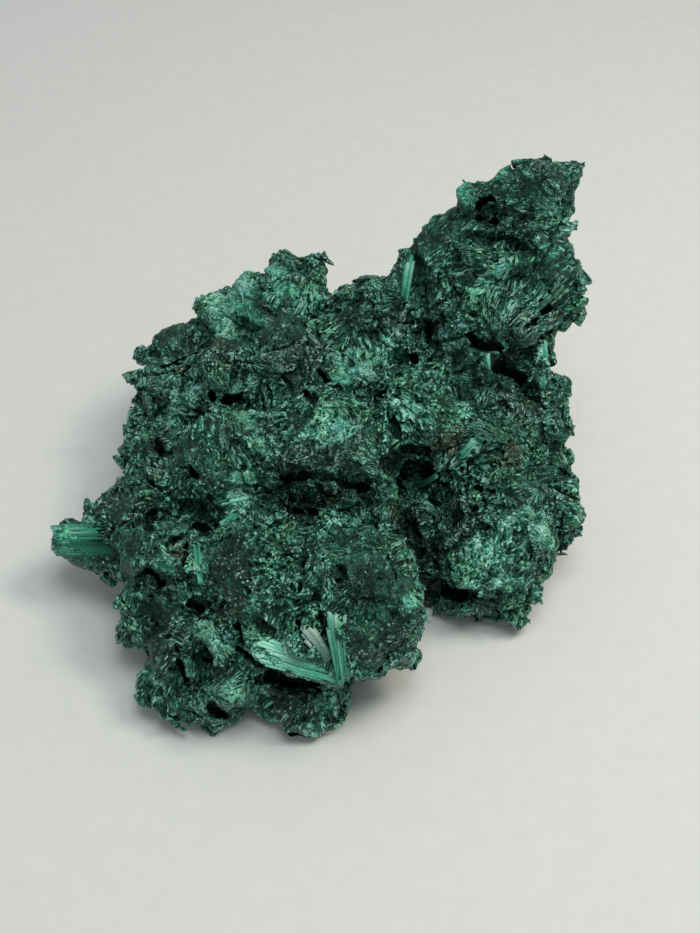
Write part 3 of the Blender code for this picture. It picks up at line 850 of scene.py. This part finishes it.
def build_laths(random, skin, count, box):
    """Thin crystals that lie along the fibres, mostly on the silk patches."""
    points, normals, triangles, fans, layers = skin
    first = triangles[:, 0]
    weight = LATHS_ANYWHERE + layers["silk_and_sheen"][first] + LATHS_SWEPT * fans.swept[first]
    chosen, shares = surface_samples(random, points, triangles, weight * layers["side_on"][first], count)
    corner = triangles[chosen]

    def at(values):
        if values.ndim == 2:
            return (values[corner] * shares[:, :, None]).sum(1)
        return (values[corner] * shares).sum(1)

    base, normal = at(points), unit(at(normals))
    along = unit(at(fans.along))
    flat = unit(along - normal * (along * normal).sum(1, keepdims=True))
    lift = random.normal(size=(count, 1)).astype(np.float32) * LATH_LIFT_SPREAD + LATH_LIFT
    stray = random.normal(size=(count, 3)).astype(np.float32) * LATH_STRAY
    direction = unit(flat + normal * lift + stray)
    length = random.uniform(*LATH_REACH, count).astype(np.float32)
    width = random.uniform(*LATH_WIDTH, count).astype(np.float32)
    # The laths take the crust's zones, with its painted sheen and painted shade.
    shown = {key: at(layers[key]) for key in ("silk_and_sheen", "grey", "brown", "depth")}
    shown["tone"] = random.random(count)
    base = base - direction * (LATH_BACK * length)[:, None] + normal * LATH_OUT
    return add_crystals(LATH_PIECE, spikes, base, direction, normal, length, width, shown, box)


def blade(random, sight, start_pixel, end_pixel, start_width, end_width, bulge, tint, count):
    """One blade: a few sheaves of fibres side by side, each broken off at its own length and level."""
    start, end = sight.spot(start_pixel), sight.spot(end_pixel)
    run = end - start
    across = unit(np.cross(run, SIGHT)[None])[0]
    out = unit(np.cross(across, run)[None])[0]
    if out @ SIGHT > 0:
        out = -out
    rise = 0.0
    for share in BLADE_STATIONS:
        pixel = np.array(start_pixel) + (np.array(end_pixel) - start_pixel) * share
        rise = max(rise, (sight.spot(pixel) - (start + run * share)) @ out)
    rise = min(rise, BLADE_RISE)

    sheaves = max(FEWEST_SHEAVES, count // SHEAF_FIBRES)
    sheaf = random.integers(sheaves, size=count)
    shuffle = random.random((5, sheaves)).astype(np.float32)[:, sheaf]
    loose = random.random((5, count)).astype(np.float32)
    place = (2 * sheaf + 1) / sheaves - 1 + (2 * SHEAF_SPREAD * loose[0] - SHEAF_SPREAD) / sheaves
    place = place.astype(np.float32)
    level = LEVEL_SHARES[0] * shuffle[0] + LEVEL_SHARES[1] * loose[1]
    lift = rise + bulge * (1 - CROWN * place**2) * level - BLADE_SUNK
    base_share = ROOT_STEPS[0] * shuffle[1] ** 2 + ROOT_STEPS[1] * loose[2]
    tip_share = 1 - TIP_STEPS[0] * shuffle[2] ** TIP_POWER - TIP_STEPS[1] * loose[3]
    skew = SKEW * (shuffle[3] - 0.5) / sheaves

    def spots(share, height, aside):
        half = (start_width + (end_width - start_width) * share) / 2
        sideways = across * ((place + aside) * half)[:, None]
        return start + run * share[:, None] + sideways + out * height[:, None]

    base = spots(base_share, lift * (ROOT_LEVELS[0] + ROOT_LEVELS[1] * base_share), -skew)
    tip = spots(tip_share, lift, skew)
    length = np.linalg.norm(tip - base, axis=1)
    thin, wide = BLADE_FIBRE
    width = (thin + (wide - thin) * random.random(count) ** 2).astype(np.float32)
    tone = TONE_SHARES[0] * shuffle[4] + TONE_SHARES[1] * loose[4]
    outs = np.tile(out, (count, 1))
    return base, (tip - base) / length[:, None], outs, length, width, np.full(count, tint), tone


def build_blades(random, sight, box):
    """All the sheaves as one mesh."""
    parts = [blade(random, sight, *row) for row in BLADES.values()]
    *shape, tint, tone = (np.concatenate(column) for column in zip(*parts))
    return add_crystals(BLADE_PIECE, bars, *shape, {"tone": tone, "tint": tint}, box)


# ---------------------------------------------------------------- materials

class Shader:
    """A short way to write node trees."""

    def __init__(self, name):
        self.material = bpy.data.materials.new(name)
        self.material.use_nodes = True
        self.tree = self.material.node_tree
        self.surface = self.tree.nodes["Principled BSDF"]

    def node(self, kind, inputs=(), **settings):
        node = self.tree.nodes.new("ShaderNode" + kind)
        for key, value in settings.items():
            setattr(node, key, value)
        self.fill(node, dict(inputs))
        return node

    def fill(self, node, inputs):
        for slot, value in inputs.items():
            socket = node.inputs[slot]
            if isinstance(value, bpy.types.NodeSocket):
                self.tree.links.new(value, socket)
            else:
                socket.default_value = value

    def coat(self, inputs):
        """Fills in the surface and hands over the material."""
        self.fill(self.surface, inputs)
        return self.material

    def place(self):
        """The place on the specimen in millimetres."""
        return self.scaled(self.node("TexCoord").outputs["Object"], 1 / MM)

    def attribute(self, name, output="Fac"):
        return self.node("Attribute", attribute_name=name).outputs[output]

    def shares(self, factors):
        """Terms of a sum, from a factor for each attribute."""
        return [(self.attribute(name), factor) for name, factor in factors.items()]

    def math(self, operation, first, second=0.0, third=0.0):
        return self.node("Math", {0: first, 1: second, 2: third}, operation=operation).outputs[0]

    def times(self, first, second):
        return self.math("MULTIPLY", first, second)

    def centred(self, value):
        return self.math("ADD", value, -0.5)

    def vector(self, operation, first, second=(0, 0, 0)):
        return self.node("VectorMath", {0: first, 1: second}, operation=operation).outputs[0]

    def scaled(self, vector, factor):
        return self.node("VectorMath", {0: vector, "Scale": factor}, operation="SCALE").outputs[0]

    def noise(self, vector, scale, detail, roughness):
        values = {"Vector": vector, "Scale": scale, "Detail": detail, "Roughness": roughness}
        return self.node("TexNoise", values).outputs["Fac"]

    def crystals(self, vector, scale):
        """A random colour for each cell, and the distance from its middle."""
        node = self.node("TexVoronoi", {"Vector": vector, "Scale": scale})
        return node.outputs["Color"], node.outputs["Distance"]

    def sum(self, *terms):
        """The sum of numbers, and of sockets each with its factor."""
        total = 0.0
        for term in terms:
            if isinstance(term, tuple):
                total = self.math("MULTIPLY_ADD", *term, total)
            else:
                total = self.math("ADD", term, total)
        return total

    def ramp(self, factor, stops):
        node = self.node("ValToRGB", {0: factor})
        elements = node.color_ramp.elements
        while len(elements) < len(stops):
            elements.new(0.5)
        for element, (position, color) in zip(elements, stops):
            element.position = position
            element.color = (*color, 1.0)
        return node.outputs["Color"]

    def range(self, value, low, high, to_low=0.0, to_high=1.0):
        values = {"Value": value, "From Min": low, "From Max": high, "To Min": to_low, "To Max": to_high}
        return self.node("MapRange", values, clamp=True).outputs[0]

    def mix(self, factor, first, second, blend="MIX"):
        values = {0: factor, 6: first, 7: second}  # a mix of colours has its sockets here
        return self.node("Mix", values, data_type="RGBA", blend_type=blend).outputs[2]


GREEN_STOPS = (
    (0.00, (0.0003, 0.002, 0.0012)), (0.22, (0.0012, 0.012, 0.0075)), (0.42, (0.004, 0.040, 0.026)),
    (0.60, (0.016, 0.105, 0.071)), (0.78, (0.060, 0.26, 0.19)), (1.00, (0.26, 0.62, 0.50)),
)
# Colours of the silk patches, their pale end partly painted sheen and highlight.
SILK_AND_SHEEN_STOPS = (
    (0.00, (0.0012, 0.018, 0.011)), (0.25, (0.005, 0.085, 0.054)), (0.50, (0.030, 0.25, 0.17)),
    (0.75, (0.13, 0.50, 0.38)), (1.00, (0.50, 0.85, 0.74)),
)
GREY_STOPS = (
    (0.00, (0.0006, 0.002, 0.0016)), (0.25, (0.004, 0.012, 0.011)), (0.45, (0.015, 0.038, 0.034)),
    (0.65, (0.045, 0.092, 0.082)), (0.85, (0.15, 0.235, 0.21)), (1.00, (0.42, 0.54, 0.50)),
)
BROWN_STOPS = (
    (0.00, (0.001, 0.002, 0.001)), (0.35, (0.009, 0.014, 0.008)), (0.60, (0.034, 0.044, 0.026)),
    (0.85, (0.13, 0.14, 0.09)), (1.00, (0.38, 0.38, 0.28)),
)
TINT_STOPS = (
    ((0.0, (0.002, 0.024, 0.014)), (0.5, (0.018, 0.15, 0.095)), (1.0, (0.16, 0.46, 0.33))),
    ((0.0, (0.005, 0.09, 0.055)), (0.5, (0.07, 0.40, 0.27)), (1.0, (0.45, 0.82, 0.68))),
    ((0.0, (0.04, 0.15, 0.11)), (0.5, (0.30, 0.48, 0.41)), (1.0, (0.80, 0.88, 0.80))),
)
PAINTED_GLINT = (0.42, 0.66, 0.57, 1.0)  # painted glints: crystal faces coloured pale as if they caught the light
LEAF_TINT, SEA_TINT = (0.84, 1.0, 0.85, 1.0), (0.95, 1.0, 1.04, 1.0)  # the crust drifts between these
SHEEN_TINT = (0.45, 1.0, 0.80, 1.0)  # light that has passed through the outermost fibres
SHEEN = {"IOR": IOR, "Specular Tint": SHEEN_TINT}


def coat_zones(shader, tone, painted_glint):
    """The four colour families, mixed by the zone attributes, with painted glints, and painted shade that
    darkens the pits and hollows.
    """
    color = shader.ramp(tone, GREEN_STOPS)
    grey = shader.times(shader.attribute("grey"), GREY_COVER)
    color = shader.mix(grey, color, shader.ramp(tone, GREY_STOPS))
    color = shader.mix(shader.attribute("brown"), color, shader.ramp(tone, BROWN_STOPS))
    color = shader.mix(shader.attribute("silk_and_sheen"), color, shader.ramp(tone, SILK_AND_SHEEN_STOPS))
    # Painted glints: pale crystal faces.
    color = shader.mix(painted_glint, color, PAINTED_GLINT)
    # Painted shade: deep places and named hollows are darkened.
    shade = shader.range(shader.attribute("depth"), *PAINTED_PIT_SHADE)
    return shader.mix(1.0, color, shade, "MULTIPLY")


def crust_material():
    shader = Shader("malachite crust")
    place = shader.place()
    root = shader.scaled(shader.attribute("root", "Vector"), 1 / MM)
    apart = shader.vector("SUBTRACT", place, root)
    fibre = shader.scaled(shader.vector("NORMALIZE", apart), shader.attribute("span"))
    near = shader.node("VectorMath", {0: apart}, operation="LENGTH").outputs["Value"]
    slide = shader.scaled(tuple(float(part) for part in ALONG_FIBRE), near)
    lane = shader.vector("ADD", shader.scaled(fibre, LANES), shader.scaled(slide, 1 / LATH_LENGTH))
    lane = shader.vector("ADD", lane, shader.scaled(root, LANE_SHUFFLE))
    lath_color, lath_edge = shader.crystals(lane, 1.0)
    grain_color, grain_edge = shader.crystals(place, 1 / GRAIN)

    smooth = shader.attribute("smooth")
    calm = shader.range(smooth, 0.0, 1.0, 1.0, CALM_FACETS)
    combed = shader.range(shader.attribute("side_on"), *COMBED)
    combed = shader.times(combed, shader.range(smooth, 0.0, 1.0, 1.0, COMBED_IF_SMOOTH))
    facet = shader.mix(combed, grain_color, lath_color)
    facet_tone, facet_catch, _ = shader.node("SeparateXYZ", {0: facet}).outputs
    speckle = shader.noise(place, *SPECKLE)
    speckle_tone = shader.range(combed, 0.0, 1.0, SPECKLE_TONE, COMBED_SPECKLE_TONE)
    # The tone adds painted highlight on crests and silk, and painted shade in pits and in the darker patches.
    tone = shader.sum(
        (shader.centred(facet_tone), shader.times(calm, FACET_TONE)),
        (shader.centred(speckle), shader.times(calm, speckle_tone)),
        (shader.centred(shader.noise(place, *BLOTCH)), BLOTCH_TONE),
        *shader.shares(TONES_AND_PAINTED_LIGHT),
        MIDDLE_TONE,
    )
    # Painted glints: faces picked by their random value, more often on crests and silk, are coloured pale.
    glint_catch = shader.sum(facet_catch, *shader.shares(PAINTED_GLINT_CATCHES))
    painted_glint = shader.times(shader.range(glint_catch, *PAINTED_GLINT_FACES), shader.times(calm, PAINTED_GLINT_COVER))
    tint = shader.range(shader.noise(place, *TINT_DRIFT), *TINT_EDGE)
    tint = shader.mix(tint, LEAF_TINT, SEA_TINT)

    tilt = shader.scaled(shader.vector("SUBTRACT", facet, (0.5, 0.5, 0.5)), shader.times(calm, FACET_TILT))
    lath_bump = shader.times(combed, LATH_BUMP)
    height = shader.sum((lath_edge, lath_bump), (grain_edge, GRAIN_BUMP), (speckle, SPECKLE_BUMP))
    bump = {"Height": height, "Strength": BUMP_STRENGTH, "Distance": BUMP_HEIGHT * MM}
    bump = shader.node("Bump", bump).outputs[0]
    return shader.coat({
        "Base Color": shader.mix(1.0, coat_zones(shader, tone, painted_glint), tint, "MULTIPLY"),
        "Roughness": shader.range(speckle, *CRUST_ROUGHNESS),
        "Normal": shader.vector("NORMALIZE", shader.vector("ADD", bump, tilt)),
        **SHEEN,
    })


def crystal_tone(shader, own, speckled, reached, middle):
    """Tone of the loose crystals, from each one's own, a speckle and the way along it."""
    speckle = shader.noise(shader.place(), *FINE_SPECKLE)
    reach = shader.attribute("reach")
    return shader.sum((shader.attribute("tone"), own), (speckle, speckled), (reach, reached), middle)


def lath_material():
    shader = Shader("malachite laths")
    color = coat_zones(shader, crystal_tone(shader, *LATH_TONES), 0.0)
    return shader.coat({"Base Color": color, "Roughness": LATH_ROUGHNESS, **SHEEN})


def blade_material():
    shader = Shader("malachite blades")
    tone = crystal_tone(shader, *BLADE_TONES)
    green, mint, white = (shader.ramp(tone, stops) for stops in TINT_STOPS)
    tint = shader.attribute("tint")
    color = shader.mix(shader.range(tint, GREEN_TINT, MINT_TINT), green, mint)
    color = shader.mix(shader.range(tint, MINT_TINT, WHITE_TINT), color, white)
    return shader.coat({"Base Color": color, "Roughness": BLADE_ROUGHNESS, **SHEEN})


# ---------------------------------------------------------------- stage

def add_camera():
    camera = bpy.data.cameras.new("camera")
    camera.lens = LENS
    camera.sensor_width = SENSOR
    obj = linked("camera", camera)
    obj.location = (AIM - LOOK * CAMERA_DISTANCE) * MM
    obj.rotation_euler = LOOK.to_track_quat("-Z", "Y").to_euler()
    bpy.context.scene.camera = obj


def add_light(name, azimuth, elevation, distance, size, power, color):
    """A square soft light that faces the specimen."""
    light = bpy.data.lights.new(name, "AREA")
    light.energy = power
    light.size = size
    light.color = color
    turn, rise = math.radians(azimuth), math.radians(elevation)
    way = Vector((math.sin(turn) * math.cos(rise), math.cos(turn) * math.cos(rise), math.sin(rise)))
    obj = linked(name, light)
    obj.location = way * distance
    obj.rotation_euler = (-way).to_track_quat("-Z", "Y").to_euler()


def add_stage():
    bm = bmesh.new()
    bmesh.ops.create_grid(bm, x_segments=2, y_segments=2, size=FLOOR_HALF)
    mesh = bpy.data.meshes.new("floor")
    bm.to_mesh(mesh)
    bm.free()
    floor = linked("floor", mesh)
    shader = Shader("pale paper")
    mottle = shader.noise(shader.node("TexCoord").outputs["Object"], *MOTTLE)
    color = shader.mix(mottle, PAPER_DARK, PAPER_PALE)
    paper = {"Base Color": color, "Roughness": PAPER_ROUGHNESS, "Specular IOR Level": PAPER_SPECULAR}
    floor.data.materials.append(shader.coat(paper))

    world = bpy.data.worlds.new("soft room")
    world.use_nodes = True
    background = world.node_tree.nodes["Background"]
    background.inputs["Color"].default_value = ROOM_COLOR
    background.inputs["Strength"].default_value = ROOM_STRENGTH
    bpy.context.scene.world = world
    for name, settings in LIGHTS.items():
        add_light(name, **settings)
    bpy.context.scene.view_settings.view_transform = "Standard"


# ---------------------------------------------------------------- main

def main():
    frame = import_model()
    cad_low, cad_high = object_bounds()
    low, high = np.array(cad_low) / MM, np.array(cad_high) / MM
    lattice = Lattice(LATTICE_SEED)
    corners, triangles = solid_surface(frame["nodes"][NODE])
    sight = Sight(corners, triangles)
    field = Field(corners, triangles, VOXEL, BAND)

    crust, *skin = build_crust(lattice, sight, field, low, high)
    crust_look = crust_material()
    for piece in crust:
        piece.data.materials.append(crust_look)
        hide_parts(NODE)
    count = LATHS
    laths = build_laths(np.random.default_rng(LATH_SEED), skin, count, (low, high))
    laths.data.materials.append(lath_material())
    blades = build_blades(np.random.default_rng(BLADE_SEED), sight, (low, high))
    blades.data.materials.append(blade_material())
    for piece in (*crust, laths, blades):
        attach(piece, BODY)

    add_stage()
    add_camera()


main()
